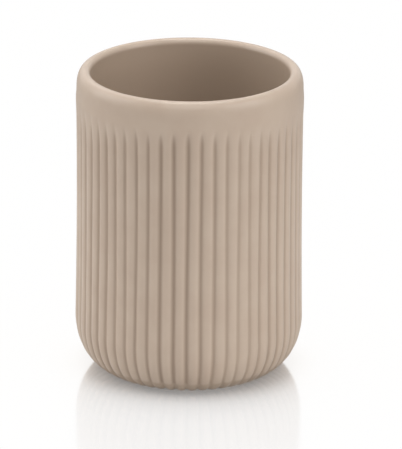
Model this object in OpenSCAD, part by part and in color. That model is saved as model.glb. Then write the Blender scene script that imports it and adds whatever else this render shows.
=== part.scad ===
// Ribbed ceramic bathroom tumbler, in millimetres, standing on the plane z = 0 with its axis on Z.
// A thick one-piece stoneware cup with upright convex ribs below a plain band stands on four soft
// anti-slip pads, each held in the recess under the base by its own adhesive disc.

/* [Cup] */
// Height of the rim's crest above the surface that the cup stands on
cup_h = 110; // [95:1:130]
// Diameter of the plain band below the rim
band_d = 79.9; // [76:0.1:84]
// Diameter over the ribs half way up the side
waist_d = 79.7; // [77:0.1:81]
// Diameter over the ribs where the side meets the heel, the widest place
belly_d = 81; // [78:0.2:85]
// Height of the rounded heel
heel_h = 18; // [12:0.5:24]
// How far the heel draws in from the side to the base
heel_w = 12.2; // [8:0.2:14]

/* [Rim] */
// How far the rim's outer round reaches inwards
lip_outer_w = 3.2; // [2:0.1:4]
// How far the rim's outer round reaches down
lip_outer_h = 6; // [3:0.5:8]
// How far the rim's inner round reaches inwards
lip_inner_w = 1.8; // [0.6:0.1:2.4]
// How far the rim's inner round reaches down
lip_inner_h = 2.8; // [2:0.2:5]

/* [Ribs] */
// Number of upright ribs round the cup
rib_count = 56; // [48:1:64]
// Depth of the valleys between the ribs at the belly
rib_depth = 0.75; // [0.4:0.05:1]
// Exponent of a rib's round: 2 is a circular round, more is a flatter crest
rib_flatness = 2.4; // [2:0.1:3]
// Distance from the rim's crest down to the top of the valleys
band_h = 11.4; // [9:0.2:20]
// Height over which the valleys run out under the band
runout_h = 2.8; // [1.5:0.1:5]
// How far the band stands out from the rib crests
band_step = 0.12; // [0.05:0.01:0.3]

/* [Inside] */
// Thickness of the wall below the rim, from the rib crests at the waist to the inside
wall_t = 5.1; // [4:0.1:6]
// Height of the round between the inner wall and the floor
inner_heel_h = 13; // [8:0.5:16]
// How far the inner heel draws in to the floor
inner_heel_w = 9; // [6:0.5:10]
// Thickness of the floor above the recess under the base
floor_t = 4.6; // [3.5:0.1:7]

/* [Foot] */
// How far the foot ring stands in from the ends of the valleys
foot_inset = 0.4; // [0.2:0.1:2]
// Width of the foot ring
foot_w = 4; // [2.5:0.1:5]
// Height of the foot ring below the heel's lowest line
foot_h = 0.6; // [0.4:0.1:1.2]

/* [Pads] */
// Number of anti-slip pads
pad_count = 4; // [3:1:6]
// Diameter of a pad
pad_d = 10; // [7:0.5:12]
// Thickness of a pad
pad_t = 1.7; // [1.4:0.1:2.5]
// Width of the small chamfer round a pad's lower edge
pad_edge = 0.25; // [0.1:0.05:0.4]
// Gap between a pad's edge and the wall of the recess
pad_margin = 1.9; // [1:0.1:4]
// How far a pad stands down below the foot ring
pad_proud = 0.35; // [0.1:0.05:0.6]
// Thickness of a pad's adhesive disc
adhesive_t = 0.2; // [0.1:0.05:0.4]
// How far the pad's edge reaches past its adhesive disc
adhesive_inset = 0.3; // [0.1:0.1:0.8]

/* [Hidden] */
// Points across one rib, an even number, and rows up the heel and the side of the ribbed skin
RIB_STEPS = 6;
HEEL_ROWS = 7;
SIDE_ROWS = 4;
// Steps in a rounded edge's outline
ROUND_STEPS = 12;
$fn = 96;
// Depth of the ribbed skin, from the rib crests to its seat inside the plain wall
skin_t = 1.7;

band_r = band_d / 2;
belly_r = belly_d / 2;
waist_r = waist_d / 2;
neck_r = band_r - band_step;
base_z = pad_proud + foot_h;
base_r = belly_r - heel_w;
belly_z = base_z + heel_h;
recess_z = pad_t + adhesive_t;
floor_z = recess_z + floor_t;
valley_top_z = cup_h - band_h;
lip_z = cup_h - lip_outer_h;
mouth_z = cup_h - lip_inner_h;
crest_r = band_r - lip_outer_w;
mouth_r = crest_r - lip_inner_w;
inner_r = waist_r - wall_t;
skin_top_z = (valley_top_z + lip_z) / 2;

// Depth of the valleys as a share of the radius, the same from the base to the neck
valley_share = rib_depth / belly_r;
foot_r = base_r * (1 - valley_share) - foot_inset;
recess_r = foot_r - foot_w;
pad_r = pad_d / 2;
pad_ring_r = recess_r - pad_margin - pad_r;
// The plain wall's face lies between the valleys and the seat of the skin
plain_t = (rib_depth + skin_t) / 2;
// Foot of the slope that ends the valleys, where it meets the plain wall's face
slope_h = runout_h * (plain_t + band_step) / (neck_r * valley_share + band_step);

// How far a rib falls below its crest at share t of the pitch, from 1 in the valleys to 0 on the crest
function rib_dip(t) = pow(abs(2 * t - 1), rib_flatness);

// Radius and height of the crest line, lowered by d, at share s of the way up the side
function side_point(s, d) = [
    belly_r * (1 - s) * (1 - 2 * s) + 4 * waist_r * s * (1 - s) + neck_r * s * (2 * s - 1) - d,
    belly_z + (valley_top_z - belly_z) * s
];

// The same on the heel, at an angle of a from the base
function heel_point(a, d) = [
    base_r + (heel_w - d) * sin(a),
    belly_z - (heel_h - d) * cos(a)
];

// Points of a quarter round between an angle of a and an angle of b
function round_points(centre_r, centre_z, w, h, a, b) = [
    for (i = [0 : ROUND_STEPS])
        let (t = a + (b - a) * i / ROUND_STEPS)
        [centre_r + w * cos(t), centre_z + h * sin(t)]
];

// Rows of the ribbed face, from the base up into the band
function rib_rows() = [
    for (i = [0 : HEEL_ROWS]) heel_point(90 * i / HEEL_ROWS, 0),
    for (i = [1 : SIDE_ROWS]) side_point(i / SIDE_ROWS, 0),
    [neck_r, skin_top_z]
];

// Rows of the skin's seat inside the wall, from the foot ring up into the band
function seat_rows() = [
    [foot_r - skin_t, base_z],
    heel_point(45, skin_t),
    side_point(0, skin_t),
    side_point(0.5, skin_t),
    [neck_r - skin_t, skin_top_z]
];

// Skin that carries the ribs, closed behind by a coarser seat with one column to each rib
module ribbed_skin() {
    ribs = rib_rows();
    seat = seat_rows();
    columns = rib_count * RIB_STEPS;
    half = RIB_STEPS / 2;
    last = len(ribs) - 1;
    seat_last = len(seat) - 1;
    seat_start = len(ribs) * columns;
    rib_points = [
        for (row = ribs, k = [0 : columns - 1])
            let (
                a = 360 * k / columns - 90,
                r = row[0] * (1 - valley_share * rib_dip((k % RIB_STEPS) / RIB_STEPS))
            )
            [r * cos(a), r * sin(a), row[1]]
    ];
    seat_points = [
        for (row = seat, i = [0 : rib_count - 1])
            let (a = 360 * i / rib_count - 90)
            [row[0] * cos(a), row[0] * sin(a), row[1]]
    ];
    rib_faces = [
        for (j = [0 : last - 1], k = [0 : columns - 1])
            let (
                a = j * columns + k,
                b = j * columns + (k + 1) % columns
            )
            each [[a, a + columns, b], [b, a + columns, b + columns]]
    ];
    seat_faces = [
        for (j = [0 : seat_last - 1], i = [0 : rib_count - 1])
            let (
                a = seat_start + j * rib_count + i,
                b = seat_start + j * rib_count + (i + 1) % rib_count
            )
            each [[a, b, a + rib_count], [b, b + rib_count, a + rib_count]]
    ];
    // Rings that close the skin below and above: each rib's points meet the two seat points behind it
    end_faces = [
        for (up = [0, 1], i = [0 : rib_count - 1])
            let (
                rim = up * last * columns,
                back = seat_start + up * seat_last * rib_count,
                a = back + i,
                b = back + (i + 1) % rib_count,
                ring = concat(
                    [
                        for (k = [0 : RIB_STEPS - 1])
                            [
                                rim + i * RIB_STEPS + k,
                                rim + (i * RIB_STEPS + k + 1) % columns,
                                k < half ? a : b
                            ]
                    ],
                    [[rim + i * RIB_STEPS + half, b, a]]
                )
            )
            each [for (f = ring) up == 1 ? [f[0], f[2], f[1]] : f]
    ];
    polyhedron(
        points = concat(rib_points, seat_points),
        faces = concat(rib_faces, seat_faces, end_faces)
    );
}

// Plain wall, floor, foot ring, band and rounded rim in one turned section, with the recess under the
// base and a slope below the band that ends the valleys
module turned_body() {
    rotate_extrude()
        polygon(concat(
            [[0, recess_z], [recess_r, recess_z], [recess_r, pad_proud], [foot_r, pad_proud]],
            [[foot_r, base_z + plain_t]],
            [for (i = [0 : HEEL_ROWS]) heel_point(90 * i / HEEL_ROWS, plain_t)],
            [for (i = [1 : SIDE_ROWS - 1]) side_point(i / SIDE_ROWS, plain_t)],
            [[neck_r - plain_t, valley_top_z - slope_h], [band_r, valley_top_z]],
            round_points(crest_r, lip_z, lip_outer_w, lip_outer_h, 0, 90),
            round_points(crest_r, mouth_z, lip_inner_w, lip_inner_h, 90, 180),
            round_points(
                inner_r - inner_heel_w, floor_z + inner_heel_h, inner_heel_w, inner_heel_h, 0, -90
            ),
            [[0, floor_z]]
        ));
}

module cup_body() {
    color([0.76, 0.69, 0.62]) {
        turned_body();
        ribbed_skin();
    }
}

// Place of one pad, evenly round the recess
module at_pad(i) {
    rotate([0, 0, 360 * (i - 0.5) / pad_count])
        translate([pad_ring_r, 0, 0])
            children();
}

module anti_slip_pad(i) {
    color([0.82, 0.82, 0.8])
        at_pad(i)
            rotate_extrude()
                polygon([
                    [0, 0],
                    [pad_r - pad_edge, 0],
                    [pad_r, pad_edge],
                    [pad_r, pad_t],
                    [0, pad_t]
                ]);
}

module adhesive_disc(i) {
    color([0.9, 0.88, 0.8])
        at_pad(i)
            translate([0, 0, pad_t])
                cylinder(r = pad_r - adhesive_inset, h = adhesive_t);
}

cup_body();
for (i = [1 : pad_count]) {
    anti_slip_pad(i);
    adhesive_disc(i);
}
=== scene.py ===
# %% [markdown]
# # A ribbed stoneware tumbler
#
# This lesson dresses the imported model of a bathroom tumbler. The object is one thick piece of fired clay
# with a satin glaze: a round heel, upright ribs with narrow soft valleys between them, a plain band and a
# thick rounded rim. Under the base, out of sight, four soft pads keep it from slipping on a wet vanity top.
#
# The imported model gives the sizes and the places. This script gives the finer form and the finish, so it
# starts by loading that model as a fixed frame.

# %% Load the frame
import math
import random

import bmesh
import bpy
from mathutils import Matrix, Vector


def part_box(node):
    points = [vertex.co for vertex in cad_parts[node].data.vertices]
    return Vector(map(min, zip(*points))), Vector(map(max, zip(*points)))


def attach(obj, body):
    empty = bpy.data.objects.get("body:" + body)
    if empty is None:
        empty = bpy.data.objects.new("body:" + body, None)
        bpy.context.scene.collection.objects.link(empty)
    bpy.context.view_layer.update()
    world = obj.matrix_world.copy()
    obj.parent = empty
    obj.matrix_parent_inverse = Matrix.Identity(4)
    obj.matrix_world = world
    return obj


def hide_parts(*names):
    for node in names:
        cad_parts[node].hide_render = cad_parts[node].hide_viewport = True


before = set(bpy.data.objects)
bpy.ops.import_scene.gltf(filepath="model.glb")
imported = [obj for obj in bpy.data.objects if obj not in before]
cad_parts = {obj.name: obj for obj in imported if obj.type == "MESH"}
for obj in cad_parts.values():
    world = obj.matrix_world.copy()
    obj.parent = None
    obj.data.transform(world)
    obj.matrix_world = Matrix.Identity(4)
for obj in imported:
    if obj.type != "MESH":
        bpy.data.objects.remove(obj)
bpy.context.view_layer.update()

# %% [markdown]
# ## Camera
#
# The picture was taken from about 20 degrees above the table with a long lens, so that the sides of the cup
# look almost parallel. The distance, the height of the aim and the small roll were worked out from the
# outline of the rim, the sides and the heel. One valley between two ribs faces the camera, so the camera
# stands on the cup's own front, on the minus Y side.

# %% Place the camera
CAMERA_DISTANCE = 1.3333
CAMERA_ELEVATION = math.radians(20.08)
CAMERA_ROLL = math.radians(0.40)
AIM_X = 0.00416
AIM_Z = 0.05221
LENS_MM = 301.7
SENSOR_MM = 36


def make_camera():
    """A long lens that looks down on the cup from the front."""
    data = bpy.data.cameras.new("front_camera")
    data.lens = LENS_MM
    data.sensor_width = SENSOR_MM
    data.sensor_fit = "AUTO"
    camera = bpy.data.objects.new("front_camera", data)
    back = CAMERA_DISTANCE * math.cos(CAMERA_ELEVATION)
    up = CAMERA_DISTANCE * math.sin(CAMERA_ELEVATION)
    turn = Matrix.Rotation(math.pi / 2 - CAMERA_ELEVATION, 4, "X") @ Matrix.Rotation(CAMERA_ROLL, 4, "Z")
    camera.matrix_world = Matrix.Translation((AIM_X, -back, AIM_Z + up)) @ turn
    bpy.context.scene.collection.objects.link(camera)
    bpy.context.scene.camera = camera
    return camera


camera = make_camera()
print("camera at", [round(v, 3) for v in camera.matrix_world.translation])

# %% [markdown]
# ## Outline of the cup
#
# A cup like this is cast in a turned mould, so its plain form is one closed half section that goes once
# round the axis. The section could be drawn as a curve with a Screw modifier. Here it is a chain of
# vertices in a bmesh, since each vertex can then carry its own data round with it: the direction and depth
# in which a flute will press it.

# %% Name the sizes of the section
MM = 0.001
BASE_Z = 0.95 * MM
BASE_R = 28.3 * MM
BELLY_R = 40.46 * MM
BELLY_Z = 18.95 * MM
WAIST_R = 39.83 * MM
NECK_R = 39.80 * MM
NECK_Z = 98.6 * MM
BAND_R = 39.93 * MM
BAND_Z = 99.5 * MM
SHOULDER_R = 39.7 * MM
LIP_Z = 104 * MM
LIP_SQUARENESS = 2.25
NECK_BLEND_H = 6 * MM
CREST_R = 36.7 * MM
CREST_Z = 110 * MM
MOUTH_R = 34.9 * MM
MOUTH_Z = 107.8 * MM
INSIDE_R = 34.7 * MM
INSIDE_HEEL_W = 9 * MM
INSIDE_HEEL_H = 13 * MM
INSIDE_FLOOR_Z = 6.5 * MM
FOOT_R = 27.376 * MM
FOOT_Z = 0.35 * MM
RECESS_R = 23.376 * MM
RECESS_Z = 1.9 * MM
FOOT_CHAMFER = 0.2 * MM
FOOT_EDGE = 0.25 * MM
FOOT_EDGE_MID = 0.08 * MM
RECESS_EDGE = 0.3 * MM
RECESS_EDGE_MID = 0.09 * MM
FINE_ROW_H = 0.8 * MM
COARSE_ROW_H = 3.05 * MM

# %% Draw the section from the inside floor over the rim to the base


def round_arc(centre, size, start, end, steps, power=2.0):
    """Points of a round between two angles, both included. Power 2 is an ellipse, more is squarer."""
    points = []
    for i in range(steps + 1):
        a = math.radians(start + (end - start) * i / steps)
        x, z = (math.copysign(abs(part) ** (2 / power), part) for part in (math.cos(a), math.sin(a)))
        points.append((centre[0] + size[0] * x, centre[1] + size[1] * z))
    return points


def straight(start, end, steps):
    """Points strictly between two places."""
    return [
        tuple(s + (e - s) * i / steps for s, e in zip(start, end))
        for i in range(1, steps)
    ]


def smooth_step(low, high, value):
    t = min(max((value - low) / (high - low), 0), 1)
    return t * t * (3 - 2 * t)


def side_radius(z):
    """Radius over the rib crests, from the belly through the waist and the neck into the band."""
    s = min((z - BELLY_Z) / (NECK_Z - BELLY_Z), 1)
    crest = BELLY_R * (1 - s) * (1 - 2 * s) + 4 * WAIST_R * s * (1 - s) + NECK_R * s * (2 * s - 1)
    out = (BAND_R - NECK_R) * smooth_step(NECK_Z - NECK_BLEND_H, BAND_Z, z)
    return crest + out - (BAND_R - SHOULDER_R) * smooth_step(BAND_Z, LIP_Z, z)


def outline():
    """The closed half section, as places in radius and height."""
    inside_heel = (INSIDE_R - INSIDE_HEEL_W, INSIDE_FLOOR_Z + INSIDE_HEEL_H)
    points = [(0, INSIDE_FLOOR_Z)]
    points += straight((0, INSIDE_FLOOR_Z), (inside_heel[0], INSIDE_FLOOR_Z), 5)
    points += round_arc(inside_heel, (INSIDE_HEEL_W, INSIDE_HEEL_H), -90, 0, 10)
    points += straight((INSIDE_R, inside_heel[1]), (MOUTH_R, MOUTH_Z), 10)
    inner_round = (CREST_R - MOUTH_R, CREST_Z - MOUTH_Z)
    outer_round = (SHOULDER_R - CREST_R, CREST_Z - LIP_Z)
    points += round_arc((CREST_R, MOUTH_Z), inner_round, 180, 90, 10, LIP_SQUARENESS)[:-1]
    points += round_arc((CREST_R, LIP_Z), outer_round, 90, 0, 14, LIP_SQUARENESS)
    heights = [LIP_Z - FINE_ROW_H * i for i in range(1, 15)]
    heights += [heights[-1] - COARSE_ROW_H * i for i in range(1, 24)]
    points += [(side_radius(z), z) for z in heights if z > BELLY_Z]
    points += round_arc((BASE_R, BELLY_Z), (BELLY_R - BASE_R, BELLY_Z - BASE_Z), 0, -90, 18)
    points += [(FOOT_R + FOOT_CHAMFER, BASE_Z), (FOOT_R, BASE_Z - FOOT_CHAMFER)]
    points += [(FOOT_R, FOOT_Z + FOOT_EDGE), (FOOT_R - FOOT_EDGE_MID, FOOT_Z + FOOT_EDGE_MID)]
    points += [(FOOT_R - FOOT_EDGE, FOOT_Z)]
    points += straight((FOOT_R - FOOT_EDGE, FOOT_Z), (RECESS_R + FOOT_EDGE, FOOT_Z), 2)
    points += [(RECESS_R + FOOT_EDGE, FOOT_Z), (RECESS_R + FOOT_EDGE_MID, FOOT_Z + FOOT_EDGE_MID)]
    points += [(RECESS_R, FOOT_Z + FOOT_EDGE), (RECESS_R, RECESS_Z - RECESS_EDGE)]
    points += [(RECESS_R - RECESS_EDGE_MID, RECESS_Z - RECESS_EDGE_MID)]
    points += [(RECESS_R - RECESS_EDGE, RECESS_Z)]
    points += straight((RECESS_R - RECESS_EDGE, RECESS_Z), (0, RECESS_Z), 4)
    return points + [(0, RECESS_Z)]


section = outline()
print("section:", len(section), "points")

# %% [markdown]
# ## Ribs
#
# The 56 ribs are broad, nearly flat rounds with a narrow soft valley between each two. On the real cup they
# come from the mould: they run from the foot round the heel and up the side, and die out softly under the
# band, over a longer way on the cup's flanks than on its front. The inside stays smooth. An array of single
# ribs would leave 56 seams, and displacement from a texture would blur the valleys. So the section is spun
# over the width of one rib in 12 columns, and that sector is spun on round the axis. Then the columns are
# drawn together towards the valleys, and each vertex is pressed in along the section's own normal, which
# keeps the valleys deep where they turn under the heel.
#
# No two valleys of a cast and sponged cup are quite alike, so each has its own small offset of height,
# depth and course. Their spacing and their depth also drift slowly round the cup.

# %% Spin the section
RIB_COUNT = 56
COLUMNS_PER_RIB = 12
RIB_DEPTH = 0.75 * MM
RIB_TOP_Z = 100.6 * MM
HAIR = 0.01 * MM
MERGE_DISTANCE = 0.004 * MM


def section_normal(i):
    """Direction out of the section at one of its points."""
    before, after = section[max(i - 1, 0)], section[min(i + 1, len(section) - 1)]
    run = Vector((after[0] - before[0], after[1] - before[1])).normalized()
    return Vector((-run.y, run.x))


def spin_section():
    """The plain cup as a bmesh, each vertex with the full press of a flute in its own layer."""
    bm = bmesh.new()
    press = bm.verts.layers.float_vector.new("press")
    chain = []
    crest = max(range(len(section)), key=lambda i: section[i][1])
    for i, (r, z) in enumerate(section):
        v = bm.verts.new((0, -r, z))
        ribbed = i > crest and r > BASE_R - HAIR and z < RIB_TOP_Z + MM
        n = section_normal(i)
        v[press] = Vector((-n[0], -n[1], 0)) * (RIB_DEPTH * r / BELLY_R if ribbed else 0)
        chain.append(v)
    edges = [bm.edges.new(pair) for pair in zip(chain, chain[1:])]
    turn = {"cent": (0, 0, 0), "axis": (0, 0, 1), "dvec": (0, 0, 0)}
    pitch = math.tau / RIB_COUNT
    bmesh.ops.spin(bm, geom=chain + edges, **turn, angle=pitch, steps=COLUMNS_PER_RIB, use_duplicate=False)
    one_rib = bm.verts[:] + bm.edges[:] + bm.faces[:]
    bmesh.ops.spin(bm, geom=one_rib, **turn, angle=math.tau - pitch, steps=RIB_COUNT - 1, use_duplicate=True)
    bmesh.ops.remove_doubles(bm, verts=bm.verts, dist=MERGE_DISTANCE)
    bmesh.ops.recalc_face_normals(bm, faces=bm.faces)
    return bm, press


cup_bm, press_layer = spin_section()
print("spun cup:", len(cup_bm.verts), "vertices,", len(cup_bm.faces), "faces")

# %% Press the flutes
RIB_SEED = 56
RIB_RUNOUT = 7 * MM
FLANK_RUNOUT = 9 * MM
RIB_FLATNESS = 2.6
VALLEY_SOFTNESS = 0.25
COLUMN_PULL = 0.4
SWAY = 0.05
SWAY_LENGTH = 19 * MM
SPACING_SHIFT = -0.13
# Waves round the cup and their size
SPACING_WAVES = [(2, 0.148), (6, 0.047)]
DEPTH_MEAN = 0.88
# Waves round the cup, their size and their turn
DEPTH_WAVES = [(3, 0.08, 0.92), (7, 0.09, 0.4)]
LIP_COAT_Z = LIP_Z + 2.5 * MM
# Depth below the crest over which the inner wall's painted shade fades in
INSIDE_SHADE_FADE = 2.8 * MM


def rib_characters():
    """Each valley's own top, depth, width and wander, drawn in a fixed order."""
    draw = random.Random(RIB_SEED)
    return [
        {
            "top": draw.uniform(-0.5, 0.4) * MM,
            "depth": draw.uniform(-0.03, 0.03),
            "width": draw.uniform(0.85, 1.25),
            "phase": draw.uniform(0, math.tau),
            "wave": draw.uniform(0.4, 1),
        }
        for _ in range(RIB_COUNT)
    ]


def valley_dip(away, width):
    """How deep a valley is, from 1 in its middle to 0 on the crest, where away is 1."""
    soft = math.sqrt(away * away + VALLEY_SOFTNESS * VALLEY_SOFTNESS) - VALLEY_SOFTNESS
    top = math.sqrt(1 + VALLEY_SOFTNESS * VALLEY_SOFTNESS) - VALLEY_SOFTNESS
    return (1 - soft / top) ** (RIB_FLATNESS / width)


def run_out(share):
    """Depth of a valley below its top, quick at first and slow towards its full depth."""
    return math.sin(math.pi / 2 * min(max(share, 0), 1))


def drift(angle):
    """Slow unevenness of the ribs' spacing round the cup, as a share of the pitch."""
    return sum((size * math.sin(count * angle) for count, size in SPACING_WAVES), SPACING_SHIFT)


def depth_drift(angle):
    """Slow unevenness of the valleys' depth round the cup, as a share of the full depth."""
    return sum((size * math.cos(count * angle + turn) for count, size, turn in DEPTH_WAVES), DEPTH_MEAN)


def press_flutes(bm, press):
    """Draws the columns towards the valleys and presses every vertex along its own direction."""
    # Share of darker valley colour: partly thicker glaze, partly painted shade
    pool_and_shade = bm.verts.layers.float.new("pool_and_shade")
    lip = bm.verts.layers.float.new("lip")
    inside = bm.verts.layers.float.new("inside")
    ribs = rib_characters()
    pitch = math.tau / RIB_COUNT
    for v in bm.verts:
        x, y, z = v.co
        r = math.hypot(x, y)
        v[lip] = smooth_step(LIP_COAT_Z, CREST_Z, z)
        # Painted shade on the inner wall, full from a little below the crest downwards
        v[inside] = smooth_step(0, INSIDE_SHADE_FADE, CREST_Z - z) if r < CREST_R else 0
        if r < MM:
            continue
        place = (math.atan2(y, x) + math.pi / 2) / pitch
        i = math.floor(place + 0.5)
        t = place - i
        t -= COLUMN_PULL * math.sin(math.tau * t) / math.tau
        rib = ribs[i % RIB_COUNT]
        rise = v[press]
        if rise.length > 0:
            sway = SWAY * rib["wave"] * math.sin(z / SWAY_LENGTH + rib["phase"])
            middle = (math.cos(math.tau * t) + 1) / 2
            flank = math.sin(i * pitch) ** 2
            top = RIB_TOP_Z + rib["top"]
            strength = run_out((top - z) / (RIB_RUNOUT + FLANK_RUNOUT * flank))
            depth = depth_drift(i * pitch) + rib["depth"]
            dip = valley_dip(abs(2 * t), rib["width"]) * strength * depth
            r += rise.x * dip
            z += rise.y * dip
            # The valley's dip also sets its darker colour: partly thicker glaze, partly painted shade
            v[pool_and_shade] = dip
            t += sway * middle
        a = (i + t + drift((i + t) * pitch)) * pitch - math.pi / 2
        v.co = (r * math.cos(a), r * math.sin(a), z)
    bm.verts.layers.float_vector.remove(press)


press_flutes(cup_bm, press_layer)
at_belly = [v.co.xy.length for v in cup_bm.verts if abs(v.co.z - BELLY_Z) < HAIR]
deepest = BELLY_R - min(r for r in at_belly if r > INSIDE_R + MM)
print("deepest valley at the belly in mm:", round(1000 * deepest, 2))

# %% [markdown]
# ## Helpers for materials
#
# Every finish below is a small node tree on a Principled shader. It reads Object coordinates, so that a
# pattern is as large as it is on the real thing and stays in place when the object is seen from elsewhere.

# %% Make a material and its nodes


def srgb(r, g, b):
    """A colour as a screen shows it, 0 to 255, made linear."""
    shares = [c / 255 for c in (r, g, b)]
    return (*((c / 12.92) if c <= 0.04 else ((c + 0.055) / 1.055) ** 2.4 for c in shares), 1)


class Finish:
    """A material with a Principled shader and short ways to add nodes to it."""

    def __init__(self, name):
        self.material = bpy.data.materials.new(name)
        self.material.use_nodes = True
        self.nodes = self.material.node_tree.nodes
        self.links = self.material.node_tree.links
        self.shader = self.nodes["Principled BSDF"]
        self.place = self.nodes.new("ShaderNodeTexCoord").outputs["Object"]

    def add(self, kind, inputs=None, **settings):
        """A node with its settings; inputs are numbers, colours or other nodes' outputs, by socket."""
        node = self.nodes.new(kind)
        for key, value in settings.items():
            setattr(node, key, value)
        for key, value in (inputs or {}).items():
            if isinstance(value, bpy.types.NodeSocket):
                self.links.new(value, node.inputs[key])
            else:
                node.inputs[key].default_value = value
        return node

    def noise(self, size, detail=3, roughness=0.5):
        """Soft random values whose blotches are about as large as size, in metres."""
        inputs = {"Vector": self.place, "Scale": 1 / size, "Detail": detail, "Roughness": roughness}
        return self.add("ShaderNodeTexNoise", inputs).outputs["Fac"]

    def spread(self, value, low, high, to_low, to_high):
        """A value mapped from one range to another, without passing its ends."""
        inputs = {0: value, 1: low, 2: high, 3: to_low, 4: to_high}
        return self.add("ShaderNodeMapRange", inputs, clamp=True).outputs[0]

    def mix(self, share, first, second):
        inputs = {0: share, 6: first, 7: second}
        return self.add("ShaderNodeMix", inputs, data_type="RGBA").outputs[2]

    def bump(self, value, height):
        inputs = {"Strength": 1.0, "Distance": height, "Height": value}
        return self.add("ShaderNodeBump", inputs).outputs["Normal"]

    def shine(self, **sockets):
        """Sets or links the shader's own sockets."""
        for key, value in sockets.items():
            socket = self.shader.inputs[key.replace("_", " ")]
            if isinstance(value, bpy.types.NodeSocket):
                self.links.new(value, socket)
            else:
                socket.default_value = value
        return self.material


# %% [markdown]
# ## Glaze
#
# The glaze is a warm beige satin coat, fired onto the clay. It is slightly cloudy at the scale of a
# fingertip and has a very fine orange peel. It runs a little thicker into the valleys, and their colour is
# darker there, partly from that and partly as painted shade that deepens the valleys beyond what their
# form shades; an attribute on the vertices gives the share. The inner wall, below the top of the rim,
# carries painted shade: a second attribute makes its colour a shade darker. It isn't glossy: the soft
# lamps show on it only as a gentle sheen. Only the top of the rim, which is wiped smooth before the firing,
# is shinier. A second material there would show a line where the two meet, so the "lip" attribute raises
# the coat step by step instead.

# %% Mix the glaze
GLAZE = srgb(186, 168, 151)
GLAZE_CLOUD = srgb(182, 163, 146)
# Valley colour: partly glaze running thicker, partly painted shade
GLAZE_POOLED_AND_SHADED = srgb(155, 136, 119)
# Inner wall colour: painted shade, darker than the glaze outside
INSIDE_PAINTED_SHADE = srgb(170, 151, 133)
CLOUD_SIZE = 11 * MM
PATCH_SIZE = 2.5 * MM
PEEL_SIZE = 0.9 * MM
PEEL_HEIGHT = 0.012 * MM
COAT_ON_BODY = 0.1
COAT_ON_LIP = 0.4


def make_glaze():
    f = Finish("satin_glaze")
    clouds = f.spread(f.noise(CLOUD_SIZE, 3), 0.35, 0.65, 0, 1)
    colour = f.mix(clouds, GLAZE, GLAZE_CLOUD)
    # Darker in the valleys: partly thicker glaze, partly painted shade that deepens them
    pooled_and_shaded = f.add("ShaderNodeAttribute", attribute_name="pool_and_shade", attribute_type="GEOMETRY").outputs["Fac"]
    colour = f.mix(f.spread(pooled_and_shaded, 0.3, 1, 0, 1), colour, GLAZE_POOLED_AND_SHADED)
    # Painted shade: the inner wall a shade darker
    inside = f.add("ShaderNodeAttribute", attribute_name="inside", attribute_type="GEOMETRY").outputs["Fac"]
    colour = f.mix(inside, colour, INSIDE_PAINTED_SHADE)
    fine = f.noise(PEEL_SIZE, 2)
    peel = f.bump(fine, PEEL_HEIGHT)
    rough = f.spread(f.noise(PATCH_SIZE, 3), 0.3, 0.7, 0.46, 0.54)
    lip = f.add("ShaderNodeAttribute", attribute_name="lip", attribute_type="GEOMETRY").outputs["Fac"]
    coat = f.spread(lip, 0, 1, COAT_ON_BODY, COAT_ON_LIP)
    return f.shine(
        Base_Color=colour,
        Roughness=rough,
        Normal=peel,
        Specular_IOR_Level=0.3,
        Coat_Weight=coat,
        Coat_Roughness=0.22,
    )


def make_bare_clay():
    f = Finish("bare_clay")
    grains = f.noise(0.35 * MM, 4, 0.6)
    colour = f.mix(f.spread(grains, 0.35, 0.65, 0, 1), srgb(214, 203, 188), srgb(190, 176, 158))
    return f.shine(Base_Color=colour, Roughness=0.85, Normal=f.bump(grains, 0.03 * MM))


glaze = make_glaze()
bare_clay = make_bare_clay()
print("materials:", glaze.name, bare_clay.name)

# %% Finish the cup
BARE_H = 0.3 * MM


def make_object(name, bm, *materials):
    """A smooth-shaded mesh object from a bmesh, at the origin."""
    mesh = bpy.data.meshes.new(name)
    bm.to_mesh(mesh)
    bm.free()
    mesh.shade_smooth()
    for material in materials:
        mesh.materials.append(material)
    piece = bpy.data.objects.new(name, mesh)
    bpy.context.scene.collection.objects.link(piece)
    return piece


for face in cup_bm.faces:
    centre = face.calc_center_median()
    if centre.z < FOOT_Z + BARE_H and centre.xy.length < FOOT_R:
        face.material_index = 1
cup = make_object("cup", cup_bm, glaze, bare_clay)
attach(cup, "root")
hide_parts("cup_body")
print("cup:", len(cup.data.polygons), "faces")

# %% [markdown]
# ## Anti-slip pads
#
# Each pad is a moulded disc of soft silicone, 10 mm across, with a softened edge and two ring grooves in
# the face that grips the table. It is built at the place of its own node in the frame: a round face is
# extruded, and its underside is inset for the grooves. The adhesive discs above the pads keep the frame's
# form and only get a finish.

# %% Mix the silicone and the adhesive
PAD_COUNT = 4


def make_silicone():
    f = Finish("soft_silicone")
    dust = f.noise(0.8 * MM, 4, 0.6)
    colour = f.mix(f.spread(dust, 0.4, 0.7, 0, 1), srgb(222, 222, 218), srgb(207, 206, 201))
    return f.shine(
        Base_Color=colour, Roughness=f.spread(dust, 0.3, 0.7, 0.45, 0.6), Normal=f.bump(dust, 0.01 * MM),
    )


def make_adhesive():
    f = Finish("adhesive_foam")
    cells = f.noise(0.25 * MM, 3, 0.6)
    colour = f.mix(f.spread(cells, 0.35, 0.65, 0, 1), srgb(240, 236, 222), srgb(222, 216, 198))
    return f.shine(Base_Color=colour, Roughness=0.7, Normal=f.bump(cells, 0.01 * MM))


silicone = make_silicone()
adhesive = make_adhesive()

# %% Mould the pads
PAD_GROOVES = 2
GROOVE_W = 0.5 * MM
GROOVE_T = 0.3 * MM
LAND_W = 0.9 * MM
PAD_BEVEL = 0.25 * MM


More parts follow.
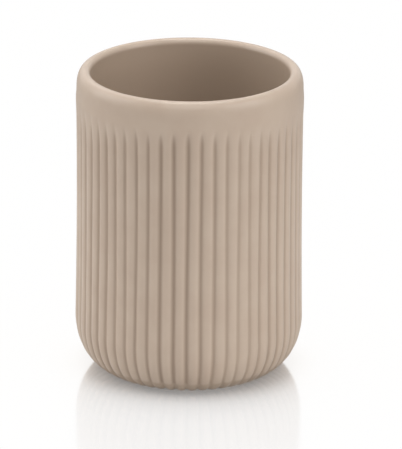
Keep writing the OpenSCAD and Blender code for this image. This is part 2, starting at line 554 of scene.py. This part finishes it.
def make_pad(number):
    """One pad, built at its CAD node's place."""
    low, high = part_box(f"anti_slip_pad_{number}")
    radius = (high.x - low.x) / 2
    centre = (low + high) / 2
    bm = bmesh.new()
    bmesh.ops.create_circle(bm, cap_ends=True, segments=64, radius=radius)
    bmesh.ops.translate(bm, verts=bm.verts, vec=(centre.x, centre.y, high.z))
    made = bmesh.ops.extrude_face_region(bm, geom=bm.faces[:])
    moved = [g for g in made["geom"] if isinstance(g, bmesh.types.BMVert)]
    bmesh.ops.translate(bm, verts=moved, vec=(0, 0, low.z - high.z))
    bmesh.ops.recalc_face_normals(bm, faces=bm.faces)
    grip = min(bm.faces, key=lambda f: f.calc_center_median().z)
    for _ in range(PAD_GROOVES):
        bmesh.ops.inset_region(bm, faces=[grip], thickness=LAND_W)
        sunk = bmesh.ops.inset_region(bm, faces=[grip], thickness=GROOVE_W * 0.5)["faces"]
        inner = bmesh.ops.inset_region(bm, faces=[grip], thickness=GROOVE_W * 0.5)["faces"]
        ring = {v for f in sunk for v in f.verts} & {v for f in inner for v in f.verts}
        bmesh.ops.translate(bm, verts=list(ring), vec=(0, 0, GROOVE_T))
    lowest = [v for v in bm.verts if v.co.z < low.z + GROOVE_T / 2]
    rim_verts = {v for v in lowest if (v.co - centre).xy.length > radius - LAND_W / 2}
    rim = [e for e in bm.edges if rim_verts.issuperset(e.verts)]
    bmesh.ops.bevel(bm, geom=rim, offset=PAD_BEVEL, segments=3, profile=0.5, affect="EDGES", material=-1)
    pad = make_object(f"grip_pad_{number}", bm, silicone)
    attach(pad, "root")
    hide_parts(f"anti_slip_pad_{number}")
    return pad


for number in range(1, PAD_COUNT + 1):
    pad = make_pad(number)
    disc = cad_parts[f"adhesive_disc_{number}"]
    disc.data.materials.clear()
    disc.data.materials.append(adhesive)
    print(pad.name, len(pad.data.polygons), "faces")

# %% [markdown]
# ## Floor
#
# The cup stands on a glossy white sheet. It gives a clear mirror image close to the foot that soon fades to
# white. A real sheet does this because the light behind it outshines the reflection. Here the camera sees
# the sheet as a blend of three things: plain white, a diffuse white that holds the cup's shadow, and a
# slightly rough mirror. Their shares follow the distance from the cup's axis, through a colour ramp. All
# other rays meet a matt white surface that glows softly, as a sheet lit from behind does. Right beside the
# cup its glow and its white are turned down: that is a painted shadow of the cup on the sheet.
#
# For those rays the sheet is bright only round the cup and has fallen to a dim grey a third of a metre
# away, which is painted darkness, as in a dark room. A floor that stays bright to its end would be mirrored
# in the glaze at grazing angles, and the cup's silhouettes would shine.

# %% Make the floor
FLOOR_R = 4.0
# Distance from the axis and the share or level there
MIRROR_SHARES = [
    (0.026, 0.72), (0.034, 0.61), (0.0388, 0.46), (0.0435, 0.335), (0.048, 0.265),
    (0.0548, 0.21), (0.064, 0.175), (0.083, 0.155), (0.098, 0.12), (0.2, 0.06),
]
SHADOW_SHARES = [
    (0.026, 0.5), (0.034, 0.3), (0.0388, 0.12), (0.0427, 0.04), (0.048, 0.02), (0.065, 0.01), (0.2, 0.0),
]
# Glow of the sheet: turned down beside the cup as a painted shadow, and far out as painted darkness
GLOW_LEVELS = [(0.04, 0.06), (0.09, 0.24), (0.2, 0.32), (0.32, 0.08)]
# White of the sheet: a little darker beside the cup as painted shade, dim grey far out as painted darkness
SHEET_WHITES = [(0.04, 0.7), (0.2, 0.8), (0.32, 0.3)]
RAMP_R = 0.4
SHEET_STRETCH = (0.92, 1.1, 0)
WHITE = (1, 1, 1, 1)
SHADOW_TINT = (0.95, 0.91, 0.88, 1)
MIRROR_TINT = (1, 0.98, 0.96, 1)
MIRROR_ROUGHNESS = 0.12


def share_by_distance(f, distance, stops):
    """A share that follows the distance from the axis, through the given stops."""
    along = f.add("ShaderNodeMath", {0: distance, 1: RAMP_R}, operation="DIVIDE").outputs[0]
    ramp = f.add("ShaderNodeValToRGB", {"Fac": along})
    ramp.color_ramp.interpolation = "LINEAR"
    elements = ramp.color_ramp.elements
    for radius, _ in stops[2:]:
        elements.new(radius / RAMP_R)
    for element, (radius, share) in zip(elements, stops):
        element.position = radius / RAMP_R
        element.color = (share, share, share, 1)
    return ramp.outputs["Color"]


def make_floor_material():
    f = Finish("white_sheet")
    flat = f.add("ShaderNodeVectorMath", {0: f.place, 1: SHEET_STRETCH}, operation="MULTIPLY").outputs[0]
    distance = f.add("ShaderNodeVectorMath", {0: flat}, operation="LENGTH").outputs["Value"]
    glow_level = share_by_distance(f, distance, GLOW_LEVELS)
    sheet_white = share_by_distance(f, distance, SHEET_WHITES)
    f.shine(Base_Color=sheet_white, Roughness=0.6, Emission_Color=WHITE, Emission_Strength=glow_level)
    glow = f.add("ShaderNodeEmission", {"Color": WHITE, "Strength": 1.0}).outputs[0]
    matt = f.add("ShaderNodeBsdfDiffuse", {"Color": SHADOW_TINT}).outputs[0]
    polish = {"Color": MIRROR_TINT, "Roughness": MIRROR_ROUGHNESS}
    mirror = f.add("ShaderNodeBsdfGlossy", polish).outputs[0]
    shadow_share = share_by_distance(f, distance, SHADOW_SHARES)
    mirror_share = share_by_distance(f, distance, MIRROR_SHARES)
    ground = f.add("ShaderNodeMixShader", {0: shadow_share, 1: glow, 2: matt}).outputs[0]
    seen = f.add("ShaderNodeMixShader", {0: mirror_share, 1: ground, 2: mirror}).outputs[0]
    from_camera = f.add("ShaderNodeLightPath").outputs["Is Camera Ray"]
    final = f.add("ShaderNodeMixShader", {0: from_camera, 1: f.shader.outputs[0], 2: seen}).outputs[0]
    f.links.new(final, f.nodes["Material Output"].inputs["Surface"])
    return f.material


floor_bm = bmesh.new()
bmesh.ops.create_circle(floor_bm, cap_ends=True, segments=64, radius=FLOOR_R)
floor = make_object("floor", floor_bm, make_floor_material())
print("floor radius:", FLOOR_R)

# %% [markdown]
# ## Light
#
# The cup is lit by five wide soft boxes: one at its left, one on its right towards the camera, a weaker one
# over the camera, one above and behind it that lights the rim, and a small one behind its left that reaches
# the rim's far side. So the front is a little darker than the flanks, and each rib shades softly into its
# valleys. The world is plain white where the camera or a reflection sees it, and almost dark as a source of
# light.

# %% Light the scene
WORLD_LIGHT = 0.06
# Name, azimuth, elevation, distance, size and watts
SOFT_BOXES = [
    ("left_box", -90, 25, 1.25, 1.0, 8.8),
    ("right_box", 60, 25, 1.25, 0.8, 7.9),
    ("top_box", 180, 80, 1.2, 0.7, 8.3),
    ("front_box", 0, 45, 1.25, 0.8, 4.9),
    ("rear_box", -150, 42, 1.2, 0.5, 1.5),
]


def make_soft_box(name, azimuth, elevation, distance, size, watts):
    """A square area lamp that faces the cup. Azimuth 0 is the camera's side and 90 the cup's right."""
    data = bpy.data.lights.new(name, "AREA")
    data.shape = "SQUARE"
    data.size = size
    data.energy = watts
    a, e = math.radians(azimuth), math.radians(elevation)
    away = Vector((math.sin(a) * math.cos(e), -math.cos(a) * math.cos(e), math.sin(e)))
    lamp = bpy.data.objects.new(name, data)
    aim = Vector((0, 0, CREST_Z / 2))
    turn = away.to_track_quat("Z", "Y").to_matrix().to_4x4()
    lamp.matrix_world = Matrix.Translation(aim + away * distance) @ turn
    bpy.context.scene.collection.objects.link(lamp)
    return lamp


def make_world():
    world = bpy.data.worlds.new("studio")
    bpy.context.scene.world = world
    world.use_nodes = True
    nodes, links = world.node_tree.nodes, world.node_tree.links
    back = nodes["Background"]
    back.inputs["Color"].default_value = WHITE
    path = nodes.new("ShaderNodeLightPath")
    seen = path.outputs["Is Camera Ray"]
    for kind in ("Is Glossy Ray", "Is Transmission Ray"):
        either = nodes.new("ShaderNodeMath")
        either.operation = "MAXIMUM"
        links.new(seen, either.inputs[0])
        links.new(path.outputs[kind], either.inputs[1])
        seen = either.outputs[0]
    level = nodes.new("ShaderNodeMapRange")
    level.inputs[3].default_value = WORLD_LIGHT
    level.inputs[4].default_value = 1
    links.new(seen, level.inputs[0])
    links.new(level.outputs[0], back.inputs["Strength"])
    return world


for box in SOFT_BOXES:
    make_soft_box(*box)
make_world()
bpy.context.scene.view_settings.view_transform = "Standard"
print("lamps:", [box[0] for box in SOFT_BOXES])
